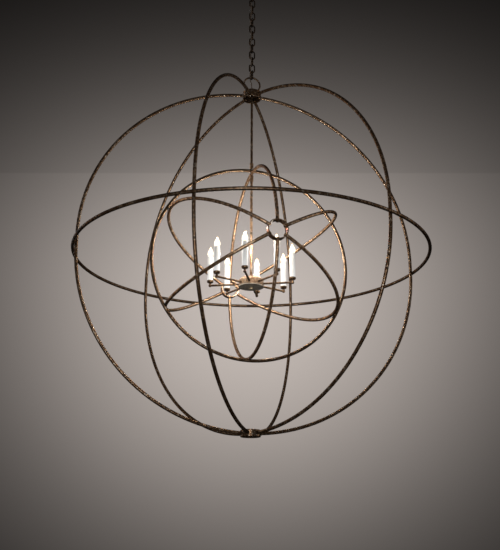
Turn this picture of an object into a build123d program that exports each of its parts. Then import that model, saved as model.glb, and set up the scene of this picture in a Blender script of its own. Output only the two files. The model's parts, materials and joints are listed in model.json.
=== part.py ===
from build123d import *
from build123d.topology import SkipClean
import os
from math import asin, cos, degrees, pi, radians, tan

os.makedirs("parts", exist_ok=True)

# A chain-hung orb chandelier: one ring sphere inside another, with a cluster of candle lights at the middle.
# Millimetres, +Z up. The origin is on the ceiling plane, where the crossbar is screwed to the ceiling box.

# Ceiling fitting
crossbar_length = 108.0
crossbar_width = 19.0
crossbar_thickness = 2.5
crossbar_slot_spacing = 89.0
crossbar_slot_length = 14.0
crossbar_slot_width = 4.8
canopy_diameter = 150.0
canopy_depth = 38.0
canopy_edge_radius = 26.0
canopy_wall = 1.2
collar_diameter = 26.0
collar_height = 8.0
canopy_ring_radius = 22.0
canopy_ring_seat = 12.0
canopy_boss_diameter = 20.0
canopy_boss_height = 14.0

# Threaded pipe, nuts and the fits between pieces
pipe_diameter = 10.0
pipe_bore = 7.5
pipe_thread_depth = 10.0
nut_across_flats = 17.0
nut_height = 6.0
thread_clearance = 0.1
tube_clearance = 0.15
seat_gap = 0.1

# Chain and the cord woven through it
link_count = 13
link_wire = 5.5
link_width = 27.0
link_length = 42.7
chain_gap = 0.15
cord_diameter = 4.5
cord_side = 5.45
cord_weave = 10.8
cord_weave_radius = 60.0
cord_pass = 7.2
cord_lead = 4.0
cord_entry = 26.0
cord_tail = 25.0

# Hanging loop on the top hub
loop_rod = 7.0
hanging_ring_radius = 34.0
hanging_ring_seat = 3.8
hanging_boss_diameter = 24.0
hanging_boss_height = 16.0

# Ring tubes and hub bands
tube_diameter = 12.7
tube_wall = 1.25
ring_gap = 0.25
meridian_count = 6
orb_width = 1372.0
waist_run = 44.0
equator_drop = 17.0
band_diameter = 75.0
band_wall = 4.0
band_height = 25.0
band_edge = 0.8
band_stub = 5.0
hub_plate_thickness = 4.0
pin_diameter = 4.0
pin_reach = 2.0

# Inner orb
inner_width = 786.0
inner_drop = 33.0
nipple_diameter = 8.0
nipple_bore = 5.0
nipple_grip = 12.0
coupling_diameter = 15.0
coupling_height = 26.0

# Candle cluster
cluster_drop = 120.0
drum_diameter = 97.0
drum_height = 33.0
drum_wall = 2.0
drum_edge_radius = 14.0
cover_thickness = 3.0
cap_nut_height = 9.0
cap_nut_diameter = 15.0
candle_count = 8
candle_circle_radius = 160.0
arm_diameter = 8.0
arm_wall = 1.0
arm_rise = 10.0
arm_nut_across_flats = 12.0
arm_nut_thickness = 4.0
arm_end_reach = 5.0
knuckle_diameter = 12.5
knuckle_depth = 5.0
neck_diameter = 8.4
neck_height = 11.0
stud_diameter = 6.0
stud_height = 9.0
wire_bore = 3.5
cup_diameter = 25.0
cup_height = 9.0
cup_wall = 1.1
cup_floor = 3.0
cup_edge_radius = 4.0
sleeve_diameter = 22.0
sleeve_wall = 1.0
sleeve_lip = 10.0
socket_diameter = 17.0
socket_height = 92.0
socket_depth = 20.0
bulb_base_diameter = 11.6
bulb_base_height = 22.0
base_clearance = 0.2
bulb_neck_radius = 6.2
bulb_belly_radius = 11.8
bulb_belly_height = 24.0
bulb_height = 52.0
bulb_tip_radius = 1.6
bulb_wall = 0.8

# Rings: the equator lies outside the meridians and touches them
equator_radius = orb_width / 2 - tube_diameter / 2
meridian_radius = equator_radius - tube_diameter - ring_gap
inner_equator_radius = inner_width / 2 - tube_diameter / 2
inner_meridian_radius = inner_equator_radius - tube_diameter - ring_gap
meridian_step = 360 / meridian_count
tube_bore = tube_diameter - 2 * tube_wall
tube_hole = tube_diameter + 2 * tube_clearance
pin_hole = pin_diameter + 2 * tube_clearance
tube_end_radius = band_diameter / 2 - band_wall - band_stub
thread_hole = pipe_diameter + 2 * thread_clearance
nipple_hole = nipple_diameter + 2 * thread_clearance

# Heights, from the ceiling down to the orbs
collar_top = -canopy_depth
canopy_loop_seat = collar_top - collar_height
canopy_ring_bottom = canopy_loop_seat - canopy_ring_seat - 2 * canopy_ring_radius
loop_hold = loop_rod / 2 + link_wire / 2 + chain_gap
link_reach = link_length - link_wire
link_pitch = link_reach - link_wire - chain_gap
chain_top = canopy_ring_bottom + loop_hold
chain_bottom = chain_top - link_reach - (link_count - 1) * link_pitch
hanging_ring_top = chain_bottom + loop_hold
hub_plate_top = hanging_ring_top - 2 * hanging_ring_radius - hanging_ring_seat
top_band_centre = hub_plate_top - hub_plate_thickness - band_height / 2
orb_centre = top_band_centre - meridian_radius - waist_run / 2
bottom_band_centre = orb_centre - meridian_radius - waist_run / 2
equator_height = orb_centre - equator_drop
inner_centre = orb_centre - inner_drop
coupling_upper_bottom = inner_centre + inner_equator_radius + tube_diameter / 2 + seat_gap
coupling_lower_top = inner_centre + inner_meridian_radius - tube_diameter / 2 - seat_gap
arm_height = orb_centre - cluster_drop
drum_bottom = arm_height - arm_rise
drum_top = drum_bottom + drum_height
cover_bottom = drum_bottom - cover_thickness
cup_floor_top = arm_height + neck_height + cup_floor
sleeve_height = socket_height + sleeve_lip


def ring_face(diameter, bore):
    return Circle(diameter / 2) - Circle(bore / 2)


def pipe(diameter, bore, bottom, top):
    return Pos(0, 0, bottom) * extrude(ring_face(diameter, bore), top - bottom)


def rod(diameter, bottom, top):
    return Pos(0, 0, bottom) * extrude(Circle(diameter / 2), top - bottom)


def hex_nut(across_flats, bore, bottom, height):
    outline = RegularPolygon(across_flats / 2, 6, major_radius=False) - Circle(bore / 2)
    return Pos(0, 0, bottom) * extrude(outline, height)


def around(count, shape, first=0.0):
    """Copies of a shape, evenly spaced round the Z axis."""
    return [Rot(0, 0, first + 360 / count * k) * shape for k in range(count)]


def along_x(diameter, start, end):
    """A round bar along +X."""
    return Pos(start, 0, 0) * Rot(0, 90, 0) * rod(diameter, 0, end - start)


def bent_tube(bend_radius, start_angle, end_angle, section):
    """A section bent in the XZ plane about the origin, from one height angle to another."""
    upright = Pos(bend_radius, 0, 0) * section
    swept = revolve(upright, Axis((0, 0, 0), (0, -1, 0)), end_angle - start_angle)
    return Rot(0, -start_angle, 0) * swept


def end_angle(bend_radius):
    """How far a meridian climbs from its equator before its end inside the hub band."""
    return 90 - degrees(asin(tube_end_radius / bend_radius))


def outer_meridian_form(section):
    """A half meridian in the XZ plane about the orb's centre: two bends and a straight waist."""
    climb = end_angle(meridian_radius)
    upper = Pos(0, 0, waist_run / 2) * bent_tube(meridian_radius, 0, climb, section)
    lower = Pos(0, 0, -waist_run / 2) * bent_tube(meridian_radius, -climb, 0, section)
    waist = Pos(meridian_radius, 0, -waist_run / 2) * extrude(section, waist_run)
    return upper + waist + lower


def inner_meridian_form(section):
    """A half meridian of the inner orb, in its own frame with the poles on the Z axis."""
    climb = end_angle(inner_meridian_radius)
    return bent_tube(inner_meridian_radius, -climb, climb, section)


tube_section = ring_face(tube_diameter, tube_bore)
hole_section = Circle(tube_hole / 2)
place_inner = Pos(0, 0, inner_centre) * Rot(90, 0, 0)
inner_first = 90.0


def hub_band():
    """A band round the Z axis, standing at the origin, before its tube holes."""
    wall = extrude(ring_face(band_diameter, band_diameter - 2 * band_wall), band_height)
    rims = wall.edges().filter_by(GeomType.CIRCLE)
    return Pos(0, 0, -band_height / 2) * chamfer(rims, band_edge)


def pin_bar(ring_radius, diameter, start, end):
    """A radial bar through the touching walls of a meridian and its equator."""
    middle = ring_radius - (tube_diameter + ring_gap) / 2
    return along_x(diameter, middle + start, middle + end)


def ring_pin(ring_radius):
    half = (tube_diameter + ring_gap) / 2 - pin_reach
    return pin_bar(ring_radius, pin_diameter, -half, half)


def ring_pin_hole(ring_radius):
    half = (tube_diameter + ring_gap) / 2
    return pin_bar(ring_radius, pin_hole, -half, half)


# Ceiling fitting
def mounting_crossbar():
    strap = extrude(SlotOverall(crossbar_length, crossbar_width), crossbar_thickness)
    slot = extrude(SlotOverall(crossbar_slot_length, crossbar_slot_width), crossbar_thickness)
    for side in (-1, 1):
        strap -= Pos(side * crossbar_slot_spacing / 2, 0, 0) * slot
    strap -= extrude(Circle(thread_hole / 2), crossbar_thickness)
    return Pos(0, 0, -crossbar_thickness) * strap


def canopy_solid(radius, depth, edge_radius):
    """The filled form of the canopy dish, with its rim on the ceiling plane."""
    block = rod(2 * radius, -depth, 0)
    floor = block.faces().sort_by(Axis.Z)[0]
    return fillet(floor.edges(), edge_radius)


def canopy():
    outer = canopy_solid(canopy_diameter / 2, canopy_depth, canopy_edge_radius)
    inner_depth = canopy_depth - canopy_wall
    inner = canopy_solid(canopy_diameter / 2 - canopy_wall, inner_depth, canopy_edge_radius - canopy_wall)
    return outer - inner - rod(thread_hole, -canopy_depth, -inner_depth)


def loop_piece(ring_radius, ring_seat, boss_diameter, boss_height):
    """A ring in the XZ plane on a bored boss that stands on the origin's plane."""
    ring = Pos(0, 0, ring_seat + ring_radius) * Rot(90, 0, 0) * Torus(ring_radius, loop_rod / 2)
    body = ring + rod(boss_diameter, 0, boss_height)
    body -= rod(thread_hole, 0, pipe_thread_depth)
    return body - rod(pipe_bore, 0, boss_height + loop_rod)


def canopy_loop():
    loop = loop_piece(canopy_ring_radius, canopy_ring_seat, canopy_boss_diameter, canopy_boss_height)
    return Pos(0, 0, canopy_loop_seat) * Rot(180, 0, 0) * loop


# Chain and cord
def link_height(n):
    return chain_top - link_reach / 2 - (n - 1) * link_pitch


def chain_link(n):
    """One oval link. Odd links lie in the YZ plane and even ones in the XZ plane."""
    bend = (link_width - link_wire) / 2
    straight = link_reach / 2 - bend
    wire = Circle(link_wire / 2)
    top = Pos(0, 0, straight) * bent_tube(bend, 0, 180, wire)
    bottom = Pos(0, 0, -straight) * bent_tube(bend, 180, 360, wire)
    sides = [Pos(side * bend, 0, 0) * rod(link_wire, -straight, straight) for side in (-1, 1)]
    turn = 90 * (n % 2)
    return Pos(0, 0, link_height(n)) * Rot(0, 0, turn) * (top + bottom + sides[0] + sides[1])


def cord_points():
    """The cord's route: out of the canopy, through every second link from side to side, into the hub."""
    points = [(0, 0, -crossbar_thickness), (0, 0, chain_top + cord_entry)]
    points.append((-cord_side, cord_pass, chain_top + cord_lead))
    for n in range(1, link_count + 1, 2):
        side = cord_weave if n % 4 == 1 else -cord_weave
        points.append((-cord_side, side, link_height(n)))
    last = cord_pass if link_count % 4 == 1 else -cord_pass
    points.append((-cord_side, last, chain_bottom - cord_lead))
    points.append((0, 0, chain_bottom - cord_entry))
    points.append((0, 0, hub_plate_top - cord_tail))
    return [Vector(*p) for p in points]


def cord_radii(points):
    """An arc for each corner, as large as its runs allow and no larger than the weave's."""
    radii = []
    for before, corner, after in zip(points, points[1:], points[2:]):
        turn = radians((corner - before).get_angle(after - corner))
        shorter = min((corner - before).length, (after - corner).length)
        radii.append(min(cord_weave_radius, 0.45 * shorter / tan(turn / 2)))
    return radii


def supply_cord():
    points = cord_points()
    radii = cord_radii(points)
    path = FilletPolyline(*points, radius=radii)
    cord = sweep((path ^ 0) * Circle(cord_diameter / 2), path)
    print("cord radii", [round(r, 1) for r in radii], "length", round(path.length, 1))
    print("cord volume over section times length", cord.volume / (pi * cord_diameter**2 / 4 * path.length))
    return cord


# Outer orb
def hanging_loop():
    loop = loop_piece(hanging_ring_radius, hanging_ring_seat, hanging_boss_diameter, hanging_boss_height)
    return Pos(0, 0, hub_plate_top) * loop


def outer_band(centre):
    band = Pos(0, 0, centre) * hub_band()
    for hole in around(meridian_count, outer_meridian_form(hole_section)):
        band -= Pos(0, 0, orb_centre) * hole
    return band


def top_hub_plate():
    return pipe(band_diameter, thread_hole, hub_plate_top - hub_plate_thickness, hub_plate_top)


def outer_meridian(k):
    tube = Pos(0, 0, orb_centre) * outer_meridian_form(tube_section)
    tube -= Pos(0, 0, equator_height) * ring_pin_hole(equator_radius)
    return Rot(0, 0, meridian_step * k) * tube


def drilled_ring(radius, first, drills):
    """A tube ring round the Z axis, of bent lengths welded end to end, each drilled at its middle."""
    upright = Pos(radius, 0, 0) * Rot(90, 0, 0) * tube_section
    length = Rot(0, 0, -meridian_step / 2) * revolve(upright, Axis.Z, meridian_step)
    ring = Part()
    with SkipClean():
        for k, drill in enumerate(drills):
            ring += Rot(0, 0, first + meridian_step * k) * (length - drill)
    return ring


def outer_equator():
    drills = [ring_pin_hole(equator_radius)] * meridian_count
    return Pos(0, 0, equator_height) * drilled_ring(equator_radius, 0, drills)


def outer_ring_pins():
    pins = around(meridian_count, ring_pin(equator_radius))
    return Compound(children=[Pos(0, 0, equator_height) * pin for pin in pins])


# Stem and the couplings that carry the inner orb
def stem_upper():
    bottom = coupling_upper_bottom + coupling_height - pipe_thread_depth
    return pipe(pipe_diameter, pipe_bore, bottom, hub_plate_top + pipe_thread_depth)


def stem_lower():
    top = coupling_lower_top - coupling_height + pipe_thread_depth
    return pipe(pipe_diameter, pipe_bore, cover_bottom - nut_height, top)


def coupling():
    """A sleeve on the origin's plane: nipple thread below, pipe thread above."""
    body = rod(coupling_diameter, 0, coupling_height)
    body = fillet(body.edges().filter_by(GeomType.CIRCLE), band_edge)
    body -= rod(nipple_hole, 0, nipple_grip)
    body -= rod(thread_hole, coupling_height - pipe_thread_depth, coupling_height)
    return body - rod(nipple_bore, 0, coupling_height)


def coupling_upper():
    return Pos(0, 0, coupling_upper_bottom) * coupling()


def coupling_lower():
    return Pos(0, 0, coupling_lower_top) * Rot(180, 0, 0) * coupling()


def orb_nipple():
    bottom = coupling_lower_top - nipple_grip
    return pipe(nipple_diameter, nipple_bore, bottom, coupling_upper_bottom + nipple_grip)


# Inner orb
def nipple_way():
    return rod(nipple_hole, coupling_lower_top, coupling_upper_bottom)


def inner_meridian(k):
    """The first one runs over the top, where the nipple passes through it."""
    tube = inner_meridian_form(tube_section)
    if k == 0:
        return place_inner * Rot(0, 0, inner_first) * tube - nipple_way()
    tube -= ring_pin_hole(inner_equator_radius)
    return place_inner * Rot(0, 0, inner_first + meridian_step * k) * tube


def inner_pin_places(shape):
    return around(meridian_count, shape, inner_first)[1:]


def inner_equator():
    nipple_hole_bar = along_x(nipple_hole, inner_meridian_radius, inner_width / 2)
    pin_holes = [ring_pin_hole(inner_equator_radius)] * (meridian_count - 1)
    return place_inner * drilled_ring(inner_equator_radius, inner_first, [nipple_hole_bar] + pin_holes)


def inner_ring_pins():
    pins = inner_pin_places(ring_pin(inner_equator_radius))
    return Compound(children=[place_inner * pin for pin in pins])


def inner_pole(side):
    """An open band at one pole of the inner orb, centred where the tubes enter it."""
    entry = band_diameter / 2 - band_wall / 2
    reach = inner_meridian_radius * cos(asin(entry / inner_meridian_radius))
    band = Pos(0, 0, side * reach) * hub_band()
    for hole in around(meridian_count, inner_meridian_form(hole_section), inner_first):
        band -= hole
    return place_inner * band


# Candle cluster
def drum_solid(diameter, height, edge_radius):
    """The filled form of the drum on the origin's plane, rounded over at its top."""
    block = rod(diameter, 0, height)
    top = block.faces().sort_by(Axis.Z)[-1]
    return fillet(top.edges(), edge_radius)


def candle_drum():
    outer = drum_solid(drum_diameter, drum_height, drum_edge_radius)
    inner = drum_solid(drum_diameter - 2 * drum_wall, drum_height - drum_wall, drum_edge_radius - drum_wall)
    shell = Pos(0, 0, drum_bottom) * (outer - inner)
    shell -= rod(thread_hole, drum_top - drum_wall, drum_top)
    hole = along_x(arm_diameter + 2 * tube_clearance, 0, drum_diameter)
    for way in around(candle_count, hole, 180 / candle_count):
        shell -= Pos(0, 0, arm_height) * way
    return shell


def drum_cover():
    return pipe(drum_diameter, thread_hole, cover_bottom, drum_bottom)


def drum_lock_nuts():
    above = hex_nut(nut_across_flats, thread_hole, drum_top, nut_height)
    below = hex_nut(nut_across_flats, thread_hole, drum_top - drum_wall - nut_height, nut_height)
    return Compound(children=[above, below])


def drum_cap_nut():
    dome = rod(cap_nut_diameter, cover_bottom - cap_nut_height, cover_bottom)
    dome = fillet(dome.faces().sort_by(Axis.Z)[0].edges(), cap_nut_height / 2)
    return dome - rod(thread_hole, cover_bottom - nut_height - seat_gap, cover_bottom)


def candle_spots(shape):
    """One copy for each arm, turned half a step from the inner orb's pole axis."""
    return Compound(children=around(candle_count, shape, 180 / candle_count))


def candle_arms():
    start = drum_diameter / 2 - drum_wall - arm_nut_thickness - arm_end_reach
    end = candle_circle_radius - knuckle_diameter / 2 + knuckle_depth
    tube = along_x(arm_diameter, start, end) - along_x(arm_diameter - 2 * arm_wall, start, end)
    return candle_spots(Pos(0, 0, arm_height) * tube)


def arm_nuts():
    nut = hex_nut(arm_nut_across_flats, arm_diameter + 2 * thread_clearance, 0, arm_nut_thickness)
    inside = drum_diameter / 2 - drum_wall
    corner = arm_nut_across_flats / 2 / cos(radians(30))
    seat = (inside**2 - corner**2) ** 0.5 - seat_gap
    lying = Pos(seat - arm_nut_thickness, 0, arm_height) * Rot(0, 90, 0) * nut
    return candle_spots(lying)


def arm_knuckles():
    """A ball at the arm's end with a neck and a threaded stud that carry the cup and socket."""
    piece = Sphere(knuckle_diameter / 2) + rod(neck_diameter, 0, neck_height)
    piece += rod(stud_diameter, neck_height, neck_height + stud_height)
    piece -= rod(wire_bore, 0, neck_height + stud_height)
    mouth = knuckle_diameter / 2
    piece -= along_x(arm_diameter + 2 * tube_clearance, -mouth, -mouth + knuckle_depth + seat_gap)
    piece -= along_x(wire_bore, -mouth, 0)
    return candle_spots(Pos(candle_circle_radius, 0, arm_height) * piece)


def candle_cups():
    """A shallow round-bottomed cup that sits on the neck's shoulder."""
    bowl = rod(cup_diameter, 0, cup_height)
    bowl = fillet(bowl.faces().sort_by(Axis.Z)[0].edges(), cup_edge_radius)
    bowl -= rod(cup_diameter - 2 * cup_wall, cup_floor, cup_height)
    bowl -= rod(stud_diameter + 2 * thread_clearance, 0, cup_floor)
    return candle_spots(Pos(candle_circle_radius, 0, arm_height + neck_height) * bowl)


def lamp_sockets():
    body = rod(socket_diameter, 0, socket_height)
    body -= rod(stud_diameter + 2 * thread_clearance, 0, stud_height - cup_floor + seat_gap)
    body -= rod(wire_bore, 0, socket_height)
    body -= rod(bulb_base_diameter + 2 * base_clearance, socket_height - socket_depth, socket_height)
    return candle_spots(Pos(candle_circle_radius, 0, cup_floor_top) * body)


def candle_sleeves():
    tube = pipe(sleeve_diameter, sleeve_diameter - 2 * sleeve_wall, 0, sleeve_height)
    return candle_spots(Pos(candle_circle_radius, 0, cup_floor_top) * tube)


def bulb_bottom():
    return cup_floor_top + socket_height - socket_depth + bulb_base_height


def bulb_bases():
    base = rod(bulb_base_diameter, bulb_bottom() - bulb_base_height, bulb_bottom())
    return candle_spots(Pos(candle_circle_radius, 0, 0) * base)


def flame_form(shrink):
    """The flame-shaped envelope on the origin's plane, drawn in by a wall where asked."""
    neck = bulb_neck_radius - shrink
    belly = bulb_belly_radius - shrink
    tip = bulb_tip_radius - shrink / 2
    top = bulb_height - shrink
    swell = Spline(
        (neck, 0),
        (belly, bulb_belly_height),
        (tip, top),
        tangents=[(0.6, 1), (-0.25, 1)],
    )
    cap = Line((tip, top), (0, top))
    axis = Line((0, top), (0, 0))
    floor = Line((0, 0), (neck, 0))
    outline = make_face([swell, cap, axis, floor])
    return revolve(Plane.XZ * outline, Axis.Z, 360)


def bulb_glass():
    glass = flame_form(0) - flame_form(bulb_wall)
    return candle_spots(Pos(candle_circle_radius, 0, bulb_bottom()) * glass)


def build_ceiling():
    canopy_top = -crossbar_thickness - nut_height
    return {
        "mounting_crossbar": mounting_crossbar(),
        "canopy_nipple": pipe(pipe_diameter, pipe_bore, canopy_loop_seat - pipe_thread_depth, 0),
        "crossbar_nut": hex_nut(nut_across_flats, thread_hole, canopy_top, nut_height),
        "canopy": canopy(),
        "canopy_collar": pipe(collar_diameter, thread_hole, canopy_loop_seat, collar_top),
        "canopy_loop": canopy_loop(),
    }


def build_chain():
    nodes = {f"chain_link_{n:02d}": chain_link(n) for n in range(1, link_count + 1)}
    nodes["supply_cord"] = supply_cord()
    return nodes


def build_outer_orb():
    nut_bottom = hub_plate_top - hub_plate_thickness - nut_height
    nodes = {
        "hanging_loop": hanging_loop(),
        "top_hub_band": outer_band(top_band_centre),
        "top_hub_plate": top_hub_plate(),
        "hub_lock_nut": hex_nut(nut_across_flats, thread_hole, nut_bottom, nut_height),
        "outer_equator": outer_equator(),
        "outer_ring_pins": outer_ring_pins(),
        "bottom_hub_band": outer_band(bottom_band_centre),
    }
    for k in range(meridian_count):
        nodes[f"outer_meridian_{k + 1}"] = outer_meridian(k)
    return nodes


def build_inner_orb():
    nodes = {
        "stem_upper": stem_upper(),
        "coupling_upper": coupling_upper(),
        "orb_nipple": orb_nipple(),
        "coupling_lower": coupling_lower(),
        "stem_lower": stem_lower(),
        "inner_equator": inner_equator(),
        "inner_ring_pins": inner_ring_pins(),
        "inner_pole_front": inner_pole(1),
        "inner_pole_back": inner_pole(-1),
    }
    for k in range(meridian_count):
        nodes[f"inner_meridian_{k + 1}"] = inner_meridian(k)
    return nodes


def build_candles():
    return {
        "candle_drum": candle_drum(),
        "drum_cover": drum_cover(),
        "drum_lock_nuts": drum_lock_nuts(),
        "drum_cap_nut": drum_cap_nut(),
        "candle_arms": candle_arms(),
        "arm_nuts": arm_nuts(),
        "arm_knuckles": arm_knuckles(),
        "candle_cups": candle_cups(),
        "lamp_sockets": lamp_sockets(),
        "candle_sleeves": candle_sleeves(),
        "bulb_bases": bulb_bases(),
        "bulb_glass": bulb_glass(),
    }


nodes = {**build_ceiling(), **build_chain(), **build_outer_orb(), **build_inner_orb(), **build_candles()}
for name, shape in nodes.items():
    export_step(shape, f"parts/{name}.step")
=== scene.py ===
import json
import math

import bmesh
import bpy
from mathutils import Matrix, Vector

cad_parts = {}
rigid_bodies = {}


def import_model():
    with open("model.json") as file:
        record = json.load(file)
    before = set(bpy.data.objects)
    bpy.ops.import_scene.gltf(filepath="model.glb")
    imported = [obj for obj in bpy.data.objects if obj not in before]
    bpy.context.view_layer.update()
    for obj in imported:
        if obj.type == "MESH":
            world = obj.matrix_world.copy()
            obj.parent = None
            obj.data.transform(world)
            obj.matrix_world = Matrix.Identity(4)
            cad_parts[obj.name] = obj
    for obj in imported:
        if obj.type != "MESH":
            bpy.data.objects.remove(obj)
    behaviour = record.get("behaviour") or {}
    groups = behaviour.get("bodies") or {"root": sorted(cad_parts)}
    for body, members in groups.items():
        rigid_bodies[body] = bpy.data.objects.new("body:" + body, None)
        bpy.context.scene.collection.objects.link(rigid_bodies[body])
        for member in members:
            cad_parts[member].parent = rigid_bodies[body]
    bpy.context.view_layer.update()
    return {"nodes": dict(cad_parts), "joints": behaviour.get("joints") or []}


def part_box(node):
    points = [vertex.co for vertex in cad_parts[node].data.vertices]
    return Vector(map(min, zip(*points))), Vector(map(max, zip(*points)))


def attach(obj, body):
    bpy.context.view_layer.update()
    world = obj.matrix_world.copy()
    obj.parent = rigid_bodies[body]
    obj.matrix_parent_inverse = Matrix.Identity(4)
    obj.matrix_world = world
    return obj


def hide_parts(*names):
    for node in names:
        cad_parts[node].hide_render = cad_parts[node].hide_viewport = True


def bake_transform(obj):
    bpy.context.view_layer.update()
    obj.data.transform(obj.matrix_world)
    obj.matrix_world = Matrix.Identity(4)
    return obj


for leftover in list(bpy.data.objects):
    bpy.data.objects.remove(leftover)

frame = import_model()
nodes = frame["nodes"]


# Shader building

NOISE_ROUGHNESS = 0.55
DENT_SMOOTHNESS = 0.35
HAMMER_DEPTH = 0.0012
HAMMER_STRENGTH = 0.22
GOLD_FROM, GOLD_FULL = 0.50, 0.70
PEWTER_FROM, PEWTER_FULL = 0.57, 0.72
PIT_FULL, PIT_END = 0.32, 0.46
FULL_TURN = 2 * math.pi
BRAID_THREADS = 8


class Value:
    """A shader socket that takes part in Python arithmetic."""

    def __init__(self, finish, socket):
        self.finish = finish
        self.socket = socket

    def _math(self, operation, first, second=0.0):
        return self.finish.add("ShaderNodeMath", {"operation": operation}, {0: first, 1: second})

    def __add__(self, other):
        return self._math("ADD", self, other)

    def __radd__(self, other):
        return self._math("ADD", other, self)

    def __sub__(self, other):
        return self._math("SUBTRACT", self, other)

    def __rsub__(self, other):
        return self._math("SUBTRACT", other, self)

    def __mul__(self, other):
        return self._math("MULTIPLY", self, other)

    def __truediv__(self, other):
        return self._math("DIVIDE", self, other)

    def sine(self):
        return self._math("SINE", self)

    def larger(self, other):
        return self._math("MAXIMUM", self, other)

    def exponent(self):
        return self._math("EXPONENT", self)

    def step(self, low, high):
        """0 below low, 1 above high and smooth between."""
        settings = {"interpolation_type": "SMOOTHSTEP", "clamp": True}
        inputs = {"Value": self, "From Min": low, "From Max": high}
        return self.finish.add("ShaderNodeMapRange", settings, inputs)


class Finish:
    """A node tree, built up from nodes and from arithmetic on their sockets."""

    def __init__(self, owner):
        owner.use_nodes = True
        self.tree = owner.node_tree
        self.tree.nodes.clear()

    def add(self, kind, settings=None, inputs=None, output=0):
        """A node: its settings first, then its sockets' values or links. Gives one output back."""
        node = self.tree.nodes.new(kind)
        for name, setting in (settings or {}).items():
            if name == "stops":
                self._set_stops(node.color_ramp, setting)
            else:
                setattr(node, name, setting)
        for name, value in (inputs or {}).items():
            if isinstance(value, Value):
                self.tree.links.new(value.socket, node.inputs[name])
            else:
                node.inputs[name].default_value = value
        return Value(self, node.outputs[output]) if node.outputs else None

    @staticmethod
    def _set_stops(ramp, stops):
        while len(ramp.elements) < len(stops):
            ramp.elements.new(0.5)
        for element, (place, colour) in zip(ramp.elements, stops):
            element.position = place
            element.color = (*colour, 1.0)

    def place(self):
        """Where a point of the piece lies, in metres."""
        return self.add("ShaderNodeTexCoord", output="Object")

    def height(self):
        """How high a point of the piece lies, in metres."""
        return self.part_of(self.place(), "Z")

    def part_of(self, vector, axis):
        return self.add("ShaderNodeSeparateXYZ", None, {"Vector": vector}, output=axis)

    def along(self, vector, way):
        """How far a vector reaches along a way."""
        settings = {"operation": "DOT_PRODUCT"}
        return self.add("ShaderNodeVectorMath", settings, {0: vector, 1: way}, output="Value")

    def noise(self, size, detail=3.0):
        """Cloudy variation with features of about this size in metres."""
        inputs = {"Vector": self.place(), "Scale": 1.0 / size, "Detail": detail, "Roughness": NOISE_ROUGHNESS}
        return self.add("ShaderNodeTexNoise", None, inputs)

    def dents(self, size):
        """Rounded cells of about this size in metres, as a hammer leaves."""
        inputs = {"Vector": self.place(), "Scale": 1.0 / size, "Smoothness": DENT_SMOOTHNESS}
        return self.add("ShaderNodeTexVoronoi", {"feature": "SMOOTH_F1"}, inputs)

    def blend(self, share, first, second):
        """A colour between two colours."""
        inputs = {"Factor": share, 6: first, 7: second}
        return self.add("ShaderNodeMix", {"data_type": "RGBA"}, inputs, output=2)

    def mix(self, share, first, second):
        """A shader between two shaders."""
        return self.add("ShaderNodeMixShader", None, {0: share, 1: first, 2: second})

    def glow(self, tone):
        """An even light from a surround."""
        return self.add("ShaderNodeBackground", None, {"Color": tone, "Strength": 1.0})

    def relief(self, height, depth, strength):
        return self.add("ShaderNodeBump", None, {"Height": height, "Distance": depth, "Strength": strength})

    def surface(self, **inputs):
        """The principled surface and the output; a name's underscores stand for spaces."""
        named = {name.replace("_", " "): value for name, value in inputs.items()}
        shader = self.add("ShaderNodeBsdfPrincipled", None, named)
        self.add("ShaderNodeOutputMaterial", None, {"Surface": shader})


def colour(red, green, blue):
    return (red, green, blue, 1.0)


def new_material(name):
    material = bpy.data.materials.new(name)
    return material, Finish(material)


def hammered_bronze(name, pit, brown, gold, pewter, fleck_size, worn, metal=0.9):
    """Browned bronze, hammered all over, with dark pits and with gold and pewter flecks rubbed through."""
    material, f = new_material(name)
    dent = f.dents(fleck_size)
    grain = f.noise(fleck_size / 3, detail=2.0)
    cloud = f.noise(fleck_size * 8, detail=2.0)
    rub = f.noise(fleck_size, detail=2.0) + (cloud - 0.5) * 0.3
    hollow = f.noise(fleck_size * 1.2, detail=2.0)
    dust = f.noise(fleck_size * 0.8, detail=2.0) + (cloud - 0.5) * 0.2
    gold_share = rub.step(GOLD_FROM - worn, GOLD_FULL - worn)
    pewter_share = dust.step(PEWTER_FROM - worn, PEWTER_FULL - worn)
    pit_share = 1.0 - hollow.step(PIT_FULL, PIT_END)
    base = f.blend(gold_share, brown, gold)
    base = f.blend(pewter_share * 0.8, base, pewter)
    base = f.blend(pit_share * 0.9, base, pit)
    f.surface(
        Base_Color=base,
        Metallic=metal - pit_share * metal * 0.5,
        Roughness=0.35 + pit_share * 0.2 + (grain - 0.5) * 0.15,
        Specular_IOR_Level=0.15,
        Specular_Tint=DULL_EDGE,
        Normal=f.relief(grain * 0.15 - dent, HAMMER_DEPTH, HAMMER_STRENGTH),
    )
    return material


def plated_steel():
    material, f = new_material("plated_steel")
    grain = f.noise(0.0015, detail=4.0)
    tone = f.blend(f.noise(0.012), colour(0.50, 0.50, 0.48), colour(0.62, 0.60, 0.55))
    brushing = f.relief(grain, 0.0001, 0.4)
    f.surface(Base_Color=tone, Metallic=1.0, Roughness=0.32 + grain * 0.2, Normal=brushing)
    return material


def polished_brass():
    material, f = new_material("polished_brass")
    haze = f.noise(0.006, detail=4.0)
    tone = f.blend(haze.step(0.4, 0.7), colour(0.52, 0.42, 0.28), colour(0.36, 0.28, 0.18))
    scuffs = f.relief(haze, 0.0001, 0.3)
    f.surface(Base_Color=tone, Metallic=1.0, Roughness=0.2 + haze * 0.2, Normal=scuffs)
    return material


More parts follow.
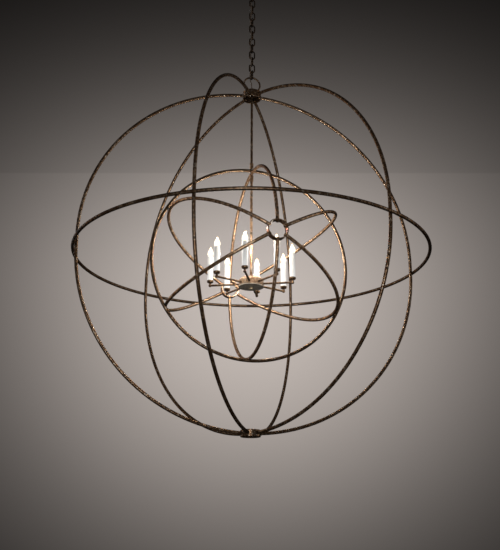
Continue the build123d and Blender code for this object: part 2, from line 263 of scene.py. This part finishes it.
def candle_white():
    """A waxed white sleeve with painted light: a glow, strongest near its foot, that the sleeve emits though
    it is no lamp.
    """
    material, f = new_material("candle_white")
    height = f.height()
    rise = height.step(SLEEVE_BOTTOM, SLEEVE_TOP)
    mottle = f.noise(0.009, detail=4.0)
    tone = f.blend(mottle, colour(0.20, 0.202, 0.20), colour(0.235, 0.237, 0.235))
    # Painted light: an emitted glow that stands in for light falling on the sleeve, stronger near its foot.
    glow = f.blend(rise, colour(0.48, 0.482, 0.48), colour(0.24, 0.235, 0.225))
    f.surface(
        Base_Color=tone,
        Roughness=0.42 + mottle * 0.15,
        Normal=f.relief(mottle, 0.0003, 0.35),
        Emission_Color=glow,
        Emission_Strength=1.0,
    )
    return material


def socket_plastic():
    material, f = new_material("socket_plastic")
    grain = f.noise(0.002, detail=3.0)
    tone = f.blend(grain, colour(0.52, 0.50, 0.44), colour(0.62, 0.60, 0.54))
    f.surface(Base_Color=tone, Roughness=0.38 + grain * 0.2, Normal=f.relief(grain, 0.0002, 0.3))
    return material


def lit_glass():
    """A flame lamp's clear glass, lit by its filament, most round the belly."""
    material, f = new_material("bulb_glass")
    height = f.height()
    share = (height - BULB_FOOT) / (BULB_TIP - BULB_FOOT)
    ripple = f.noise(0.01, detail=2.0)
    stops = [
        (0.0, (0.42, 0.37, 0.30)),
        (0.25, (0.44, 0.40, 0.33)),
        (0.45, (1.0, 0.90, 0.74)),
        (0.65, (0.95, 0.82, 0.64)),
        (0.85, (0.48, 0.38, 0.27)),
        (1.0, (0.30, 0.20, 0.11)),
    ]
    glow = f.add("ShaderNodeValToRGB", {"stops": stops}, {"Fac": share + ripple * 0.1 - 0.05})
    f.surface(
        Base_Color=f.blend(ripple, colour(0.050, 0.031, 0.016), colour(0.065, 0.042, 0.022)),
        Roughness=0.04 + ripple * 0.06,
        Alpha=0.2,
        Emission_Color=glow,
        Emission_Strength=GLASS_GLOW,
    )
    return material


def hot_wire():
    """A filament at full heat, a little cooler where it meets its supports."""
    material, f = new_material("hot_wire")
    height = f.height()
    heat = height.step(FILAMENT_FOOT - 0.002, FILAMENT_FOOT + 0.010)
    coil = f.noise(0.0012, detail=2.0)
    glow = f.blend(heat * 0.9 + coil * 0.1, colour(1.0, 0.55, 0.20), colour(1.0, 0.84, 0.60))
    f.surface(
        Base_Color=f.blend(coil, colour(0.20, 0.19, 0.18), colour(0.32, 0.30, 0.28)),
        Roughness=0.5 + coil * 0.2,
        Emission_Color=glow,
        Emission_Strength=FILAMENT_GLOW,
    )
    return material


def braided_cover():
    """A brown cloth cord cover: two sets of threads that cross."""
    material, f = new_material("cord_cover")
    uv = f.add("ShaderNodeUVMap", {"uv_map": "braid"})
    across = f.part_of(uv, "X") * (BRAID_THREADS * FULL_TURN)
    along = f.part_of(uv, "Y") * FULL_TURN
    right = (across + along).sine()
    left = (across - along).sine()
    thread = right.larger(left).step(-0.2, 1.0)
    fibre = f.noise(0.0007, detail=4.0)
    # Darker between the threads: painted shade in the gaps of the weave.
    tone = f.blend(thread, colour(0.010, 0.007, 0.005), colour(0.055, 0.036, 0.022))
    tone = f.blend(fibre * 0.5, tone, colour(0.09, 0.06, 0.04))
    weave = f.relief(thread + fibre * 0.3, 0.0004, 0.8)
    f.surface(Base_Color=tone, Roughness=0.78 + fibre * 0.15, Normal=weave)
    return material


# Finishes of the nodes

LAMP_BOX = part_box("bulb_glass")
SLEEVE_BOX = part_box("candle_sleeves")
BULB_FOOT, BULB_TIP = LAMP_BOX[0][2], LAMP_BOX[1][2]
SLEEVE_BOTTOM, SLEEVE_TOP = SLEEVE_BOX[0][2], SLEEVE_BOX[1][2]

FILAMENT_FOOT = BULB_FOOT + 0.015
FILAMENT_HEIGHT = 0.031
GLASS_GLOW = 2.8
FILAMENT_GLOW = 30.0

DULL_EDGE = colour(0.10, 0.08, 0.07)
UMBER = colour(0.010, 0.0068, 0.0046)
SOOT = colour(0.015, 0.0105, 0.0072)
RUSSET = colour(0.046, 0.0272, 0.0157)
OLD_GOLD = colour(0.122, 0.0815, 0.0510)
PEWTER = colour(0.175, 0.155, 0.132)
# The next three are lighter bronze tones that paint candle light onto the parts round the lamps.
TAN = colour(0.130, 0.0777, 0.0447)
PALE_GOLD = colour(0.310, 0.205, 0.1290)
WARM_GOLD = colour(0.290, 0.180, 0.1030)
SILVER = colour(0.330, 0.295, 0.254)
PALE_PEWTER = colour(0.42, 0.39, 0.35)

ring_bronze = hammered_bronze("ring_bronze", UMBER, RUSSET, OLD_GOLD, PEWTER, 0.010, 0.02)
# A lighter copy of the ring bronze: painted candle light on the inner rings, the lower stem and the coupling.
painted_candlelight_bronze = hammered_bronze("painted_candlelight_bronze", UMBER, TAN, PALE_GOLD, SILVER, 0.010, 0.02)
hub_bronze = hammered_bronze("hub_bronze", UMBER, RUSSET, OLD_GOLD, PEWTER, 0.008, 0.04)
# A lighter, less metallic copy of the bronze: painted candle light on the drum.
painted_candlelight_drum_bronze = hammered_bronze("painted_candlelight_drum_bronze", RUSSET, TAN, PALE_GOLD, SILVER, 0.006, 0.06, metal=0.4)
# The arms' bronze, with gold flecks lighter than the rings': partly their own tone, partly painted candle
# light on the arms, cups and knuckles.
arm_bronze_with_painted_candlelight = hammered_bronze("arm_bronze_with_painted_candlelight", UMBER, RUSSET, WARM_GOLD, PALE_GOLD, 0.006, 0.02, metal=0.6)
cover_bronze = hammered_bronze(
    "cover_bronze", RUSSET, SILVER, PALE_PEWTER, PALE_PEWTER, 0.007, 0.04, metal=0.5
)
chain_bronze = hammered_bronze("chain_bronze", UMBER, SOOT, RUSSET, OLD_GOLD, 0.005, 0.0)
cord_finish = braided_cover()
brass = polished_brass()

NODE_FINISHES = {
    "outer_": ring_bronze,
    "inner_": painted_candlelight_bronze,
    "inner_equator": ring_bronze,
    "top_hub": hub_bronze,
    "bottom_hub": hub_bronze,
    "hanging_loop": hub_bronze,
    "stem_upper": hub_bronze,
    "stem_lower": painted_candlelight_bronze,
    "coupling": painted_candlelight_bronze,
    "candle_arms": arm_bronze_with_painted_candlelight,
    "candle_cups": arm_bronze_with_painted_candlelight,
    "arm_knuckles": arm_bronze_with_painted_candlelight,
    "candle_drum": painted_candlelight_drum_bronze,
    "drum_cover": cover_bronze,
    "canopy": hub_bronze,
    "chain_link": chain_bronze,
    "supply_cord": cord_finish,
    "candle_sleeves": candle_white(),
    "bulb_glass": lit_glass(),
    "bulb_bases": brass,
    "drum_cap_nut": brass,
    "lamp_sockets": socket_plastic(),
}
STEEL_NODES = (
    "mounting_crossbar",
    "canopy_nipple",
    "crossbar_nut",
    "hub_lock_nut",
    "outer_ring_pins",
    "inner_ring_pins",
    "orb_nipple",
    "drum_lock_nuts",
    "arm_nuts",
)
steel = plated_steel()


def finish_for(name):
    """The finish whose key is the longest start of the node's name."""
    if name in STEEL_NODES:
        return steel
    key = max((k for k in NODE_FINISHES if name.startswith(k)), key=len)
    return NODE_FINISHES[key]


for node_name, node in nodes.items():
    for slot in node.material_slots:
        slot.material = finish_for(node_name)


# Supply cord

CORD_RADIUS = 0.00225
BRAID_PITCH = 0.006
CORD_SIDE = -0.00545
WEAVE = 0.0148
LINK_COUNT = 13
CHAIN_TOP = -0.0956
LINK_REACH = 0.0372
LINK_PITCH = 0.03155
CHAIN_BOTTOM = CHAIN_TOP - LINK_REACH - (LINK_COUNT - 1) * LINK_PITCH
HUB_TOP = -0.5768
TURN_ZONE = 0.011
CORD_TOP = -0.0025
CORD_ENTRY = 0.026
CORD_LEAD = 0.004
CORD_PASS = 0.0072
CORD_TAIL = 0.025
CORD_SIDES = 16
SPLINE_ORDER = 3
SPLINE_STEPS = 12


def link_middle(n):
    return CHAIN_TOP - LINK_REACH / 2 - (n - 1) * LINK_PITCH


def cord_route():
    """From the canopy, in and out beside the links, to the hub."""
    route = [(0, 0, CORD_TOP), (0, 0, CHAIN_TOP + CORD_ENTRY), (CORD_SIDE, CORD_PASS, CHAIN_TOP + CORD_LEAD)]
    for n in range(1, LINK_COUNT + 1, 2):
        side = WEAVE if n % 4 == 1 else -WEAVE
        route.append((CORD_SIDE, side, link_middle(n)))
    route.append((CORD_SIDE, CORD_PASS, CHAIN_BOTTOM - CORD_LEAD))
    route += [(0, 0, CHAIN_BOTTOM - CORD_ENTRY), (0, 0, HUB_TOP - CORD_TAIL)]
    return route


def smooth_line(route):
    """Points along the NURBS line that has the route as its control points."""
    curve = bpy.data.curves.new("cord_line", "CURVE")
    curve.dimensions = "3D"
    spline = curve.splines.new("NURBS")
    spline.points.add(len(route) - 1)
    for point, place in zip(spline.points, route):
        point.co = (*place, 1.0)
    spline.order_u = SPLINE_ORDER
    spline.use_endpoint_u = True
    spline.resolution_u = SPLINE_STEPS
    holder = bpy.data.objects.new("cord_line", curve)
    bpy.context.scene.collection.objects.link(holder)
    bpy.context.view_layer.update()
    drawn = holder.evaluated_get(bpy.context.evaluated_depsgraph_get())
    mesh = bpy.data.meshes.new_from_object(drawn)
    points = [v.co.copy() for v in mesh.vertices]
    bpy.data.objects.remove(holder)
    bpy.data.curves.remove(curve)
    bpy.data.meshes.remove(mesh)
    return points


def add_tube(bm, line, radius, sides):
    """A closed round tube along a line. Gives its rings of points back."""
    rings = []
    for i, spot in enumerate(line):
        way = (line[min(i + 1, len(line) - 1)] - line[max(i - 1, 0)]).normalized()
        out = Vector((1, 0, 0)) if abs(way.x) < 0.9 else Vector((0, 1, 0))
        out = (out - way * out.dot(way)).normalized()
        sideways = way.cross(out)
        turns = [FULL_TURN * k / sides for k in range(sides)]
        spokes = [math.cos(turn) * out + math.sin(turn) * sideways for turn in turns]
        rings.append([bm.verts.new(spot + radius * spoke) for spoke in spokes])
    for upper, lower in zip(rings, rings[1:]):
        for k in range(sides):
            n = (k + 1) % sides
            bm.faces.new((upper[k], upper[n], lower[n], lower[k])).smooth = True
    bm.faces.new(rings[0])
    bm.faces.new(reversed(rings[-1]))
    return rings


def make_piece(name, bm, material):
    bmesh.ops.recalc_face_normals(bm, faces=bm.faces)
    mesh = bpy.data.meshes.new(name)
    bm.to_mesh(mesh)
    bm.free()
    mesh.materials.append(material)
    piece = bpy.data.objects.new(name, mesh)
    bpy.context.scene.collection.objects.link(piece)
    return piece


def cord_length_piece(name, line):
    """One length of the cord, with a map of turns across and along it for the braid."""
    bm = bmesh.new()
    rings = add_tube(bm, line, CORD_RADIUS, CORD_SIDES)
    runs = [0.0]
    for before, after in zip(line, line[1:]):
        runs.append(runs[-1] + (after - before).length / BRAID_PITCH)
    place_in_braid = {}
    for ring, run in zip(rings, runs):
        for k, vert in enumerate(ring):
            place_in_braid[vert] = (k / CORD_SIDES, run)
    braid = bm.loops.layers.uv.new("braid")
    for face in bm.faces:
        spots = [place_in_braid[loop.vert] for loop in face.loops]
        wraps = max(s[0] for s in spots) - min(s[0] for s in spots) > 0.5
        for loop, (across, along) in zip(face.loops, spots):
            loop[braid].uv = (across + 1 if wraps and across < 0.5 else across, along)
    return make_piece(name, bm, cord_finish)


def nearest_index(line, height):
    return min(range(len(line)), key=lambda i: abs(line[i].z - height))


def make_cord():
    """Four lengths of the cord that meet at the middle of a link."""
    line = smooth_line(cord_route())
    bodies = ["ceiling", "top_link", "chain", "bottom_link", "fixture"]
    meeting_links = (1, (LINK_COUNT + 1) // 2, LINK_COUNT)
    cuts = [0] + [nearest_index(line, link_middle(n)) for n in meeting_links] + [len(line) - 1]
    for k, (upper, lower) in enumerate(zip(bodies, bodies[1:])):
        joint = next(j for j in frame["joints"] if j["child"] == lower)
        pivot = joint["pos_m"][2]
        piece = cord_length_piece(f"cord_length_{k + 1}", line[cuts[k] : cuts[k + 1] + 1])
        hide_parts("supply_cord")
        pivot + TURN_ZONE
        pivot - TURN_ZONE
        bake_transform(piece)


make_cord()


# Lamp filaments

CANDLE_COUNT = 8
CANDLE_CIRCLE = 0.160
HAIRPIN_HALF_WIDTH = 0.0030
HAIRPIN_ARCH = 0.018
FILAMENT_RADIUS = 0.0008
STEM_RADIUS = 0.0022
LEAD_RADIUS = 0.0004
HAIRPIN_STEPS = 8
STEM_HEIGHT = 0.011
STEM_STEPS = (0.08, 0.5, 1.0)
LEAD_FOOT = 0.010
HOT_SIDES, STEM_SIDES, LEAD_SIDES = 8, 12, 6
LAMP_POWER = 2.7
LAMP_TINT = (1.0, 0.90, 0.78)
LAMP_LIGHT_HEIGHT = BULB_TIP + 0.030
LAMP_LIGHT_RADIUS = 0.008


def candle_axes():
    """Where the candles' axes cross the ceiling plane."""
    turns = [math.pi * (2 * k + 1) / CANDLE_COUNT for k in range(CANDLE_COUNT)]
    return [CANDLE_CIRCLE * Vector((math.cos(turn), math.sin(turn), 0)) for turn in turns]


def lift(height):
    return Vector((0, 0, height))


def make_filaments():
    """A hairpin filament in each lamp, on two leads from a glass stem."""
    hot = bmesh.new()
    cold = bmesh.new()
    top = FILAMENT_FOOT + FILAMENT_HEIGHT
    for axis in candle_axes():
        across = HAIRPIN_HALF_WIDTH * Vector((-axis.y, axis.x, 0)).normalized()
        hairpin = [axis - across + lift(FILAMENT_FOOT)]
        for step in range(HAIRPIN_STEPS + 1):
            turn = math.pi * step / HAIRPIN_STEPS
            rise = top - HAIRPIN_ARCH + HAIRPIN_ARCH * math.sin(turn)
            hairpin.append(axis - across * math.cos(turn) + lift(rise))
        hairpin.append(axis + across + lift(FILAMENT_FOOT))
        add_tube(hot, hairpin, FILAMENT_RADIUS, HOT_SIDES)
        stem = [axis + lift(BULB_FOOT + share * STEM_HEIGHT) for share in STEM_STEPS]
        add_tube(cold, stem, STEM_RADIUS, STEM_SIDES)
        for side in (-1, 1):
            foot = axis + side * 0.5 * across + lift(BULB_FOOT + LEAD_FOOT)
            head = axis + side * across + lift(FILAMENT_FOOT)
            add_tube(cold, [foot, head], LEAD_RADIUS, LEAD_SIDES)
    filaments = make_piece("lamp_filaments", hot, hot_wire())
    stems = make_piece("filament_stems", cold, steel)
    for piece, slot in ((filaments, "bulb_glass"), (stems, "plated_steel")):
        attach(piece, "fixture")
    return filaments


def make_lamp_lights(filaments):
    """The light that each lamp sheds: a small soft ball just over its tip, carried by the filaments."""
    for axis in candle_axes():
        data = bpy.data.lights.new("lamp_light", "POINT")
        data.energy = LAMP_POWER
        data.color = LAMP_TINT
        data.shadow_soft_size = LAMP_LIGHT_RADIUS
        light = bpy.data.objects.new("lamp_light", data)
        light.location = axis + lift(LAMP_LIGHT_HEIGHT)
        light.visible_camera = False
        light.parent = filaments
        bpy.context.scene.collection.objects.link(light)


make_lamp_lights(make_filaments())


# Studio

FLOOR_HEIGHT = -4.2
FLOOR_RADIUS = 40.0
FLOOR_SEGMENTS = 96
FLOOR_GLOW = 0.42
PATCH_MIDDLE = 0.278
PATCH_HALF_WIDTH = 0.258
PATCH_RISE = 0.173
PATCH_FALL = 0.2395
CEILING_LINE = 0.4565
CEILING_LINE_BLUR = 0.0014
CEILING_SHADE = 0.121
# The pale tone is a painted pool of light on the wall; the darkest tone is painted shade over the wall and
# the ceiling round it.
WALL_LIGHT_POOL = colour(0.553, 0.493, 0.456)
DIM_WALL = colour(0.062, 0.056, 0.050)
PAINTED_WALL_SHADE = colour(0.0006, 0.0005, 0.0005)
GREY_ROOM = colour(0.18, 0.167, 0.154)
DIM_BESIDE = (0.08, 0.16)
DIM_UP_TO = (0.30, 0.65)
DIM_BELOW = (-0.09, -0.005)
WALL_EDGE = (0.45, 0.75)
ORB_CENTRE = Vector((0, 0, -1.282))
CAMERA_DISTANCE = 3.317
CAMERA_AZIMUTH = math.radians(-14.175)
CAMERA_ELEVATION = math.radians(-19.11)
CAMERA_DIP = -0.0240
CAMERA_PAN = -0.0013
CAMERA_ROLL = 0.0041
FOCAL_PIXELS = 854.5
LONG_SIDE_PIXELS = 550
SENSOR_WIDTH = 36.0
LIGHT_SPREAD = math.radians(80)
STUDIO_LIGHTS = (  # name, place, target, width, watts, tint
    ("front_light", (-1.0, -3.4, -1.9), (0, 0, -1.4), 1.0, 15.0, (1.0, 0.97, 0.93)),
    ("back_light", (-2.6, 3.6, 0.2), (0, 0, -1.3), 7.0, 85.0, (1.0, 0.96, 0.92)),
    ("side_light", (4.2, -0.7, -0.4), (0, 0, -1.3), 5.0, 20.0, (1.0, 0.96, 0.92)),
)


def make_floor():
    bm = bmesh.new()
    bmesh.ops.create_circle(bm, cap_ends=True, segments=FLOOR_SEGMENTS, radius=FLOOR_RADIUS)
    mesh = bpy.data.meshes.new("studio_floor")
    bm.to_mesh(mesh)
    bm.free()
    material, f = new_material("studio_floor")
    patch = f.noise(0.8, detail=3.0)
    tone = f.blend(patch, colour(0.74, 0.725, 0.71), colour(0.80, 0.785, 0.77))
    f.surface(
        Base_Color=tone,
        Roughness=0.85 + patch * 0.1,
        Emission_Color=tone,
        Emission_Strength=FLOOR_GLOW,
    )
    mesh.materials.append(material)
    floor = bpy.data.objects.new("studio_floor", mesh)
    floor.location = (0, 0, FLOOR_HEIGHT)
    floor.visible_diffuse = False
    floor.visible_glossy = False
    bpy.context.scene.collection.objects.link(floor)


def make_surround():
    """A plain grey surround, with a painted pool of light on the wall behind the orb and painted darker shade
    over the ceiling above it.
    """
    world = bpy.data.worlds.new("studio")
    bpy.context.scene.world = world
    f = Finish(world)
    way = f.add("ShaderNodeTexCoord", output="Generated")
    height = f.part_of(way, "Z")
    aside = f.along(way, (math.cos(CAMERA_AZIMUTH), math.sin(CAMERA_AZIMUTH), 0.0))
    ahead = f.along(way, (-math.sin(CAMERA_AZIMUTH), math.cos(CAMERA_AZIMUTH), 0.0))
    across = aside / PATCH_HALF_WIDTH
    above = ((height - PATCH_MIDDLE) / PATCH_RISE).larger((PATCH_MIDDLE - height) / PATCH_FALL)
    # A painted pool of light on the wall behind the orb.
    patch = (0.0 - across * across - above * above).exponent()
    slope = (height - aside * CAMERA_ROLL) / ahead
    # Painted shade over the ceiling, above a soft line.
    ceiling = slope.step(CEILING_LINE - CEILING_LINE_BLUR, CEILING_LINE + CEILING_LINE_BLUR)
    beside = (aside * aside).step(*DIM_BESIDE) * (1.0 - height.step(*DIM_UP_TO))
    below = 1.0 - height.step(*DIM_BELOW)
    dark = f.glow(PAINTED_WALL_SHADE)
    bare_wall = f.mix(beside.larger(below), dark, f.glow(DIM_WALL))
    lit_wall = f.mix(patch, bare_wall, f.glow(WALL_LIGHT_POOL))
    whole_wall = f.mix(ceiling * CEILING_SHADE, lit_wall, dark)
    mixed = f.mix(ahead.step(*WALL_EDGE), f.glow(GREY_ROOM), whole_wall)
    f.add("ShaderNodeOutputWorld", None, {"Surface": mixed})


def soft_light(name, place, target, size, power, tint):
    data = bpy.data.lights.new(name, "AREA")
    data.shape = "DISK"
    data.size = size
    data.energy = power
    data.color = tint
    data.spread = LIGHT_SPREAD
    light = bpy.data.objects.new(name, data)
    light.location = place
    light.rotation_mode = "QUATERNION"
    light.rotation_quaternion = (Vector(target) - Vector(place)).to_track_quat("-Z", "Y")
    light.visible_camera = False
    bpy.context.scene.collection.objects.link(light)


def make_camera():
    level = math.cos(CAMERA_ELEVATION)
    back = Vector(
        (
            math.sin(CAMERA_AZIMUTH) * level,
            -math.cos(CAMERA_AZIMUTH) * level,
            math.sin(CAMERA_ELEVATION),
        )
    )
    right = (-back).cross(Vector((0, 0, 1))).normalized()
    up = right.cross(-back)
    forward = (-back + CAMERA_DIP * up + CAMERA_PAN * right).normalized()
    right = (right - forward * right.dot(forward)).normalized()
    up = right.cross(forward)
    turn = Matrix.Rotation(CAMERA_ROLL, 3, -forward)
    right, up = turn @ right, turn @ up
    data = bpy.data.cameras.new("photo_view")
    data.sensor_width = SENSOR_WIDTH
    data.lens = FOCAL_PIXELS / LONG_SIDE_PIXELS * SENSOR_WIDTH
    camera = bpy.data.objects.new("photo_view", data)
    facing = Matrix((right, up, -forward)).transposed()
    camera.matrix_world = Matrix.Translation(ORB_CENTRE + back * CAMERA_DISTANCE) @ facing.to_4x4()
    bpy.context.scene.collection.objects.link(camera)
    bpy.context.scene.camera = camera


make_floor()
make_surround()
make_camera()
for studio_light in STUDIO_LIGHTS:
    soft_light(*studio_light)
bpy.context.scene.view_settings.view_transform = "Standard"
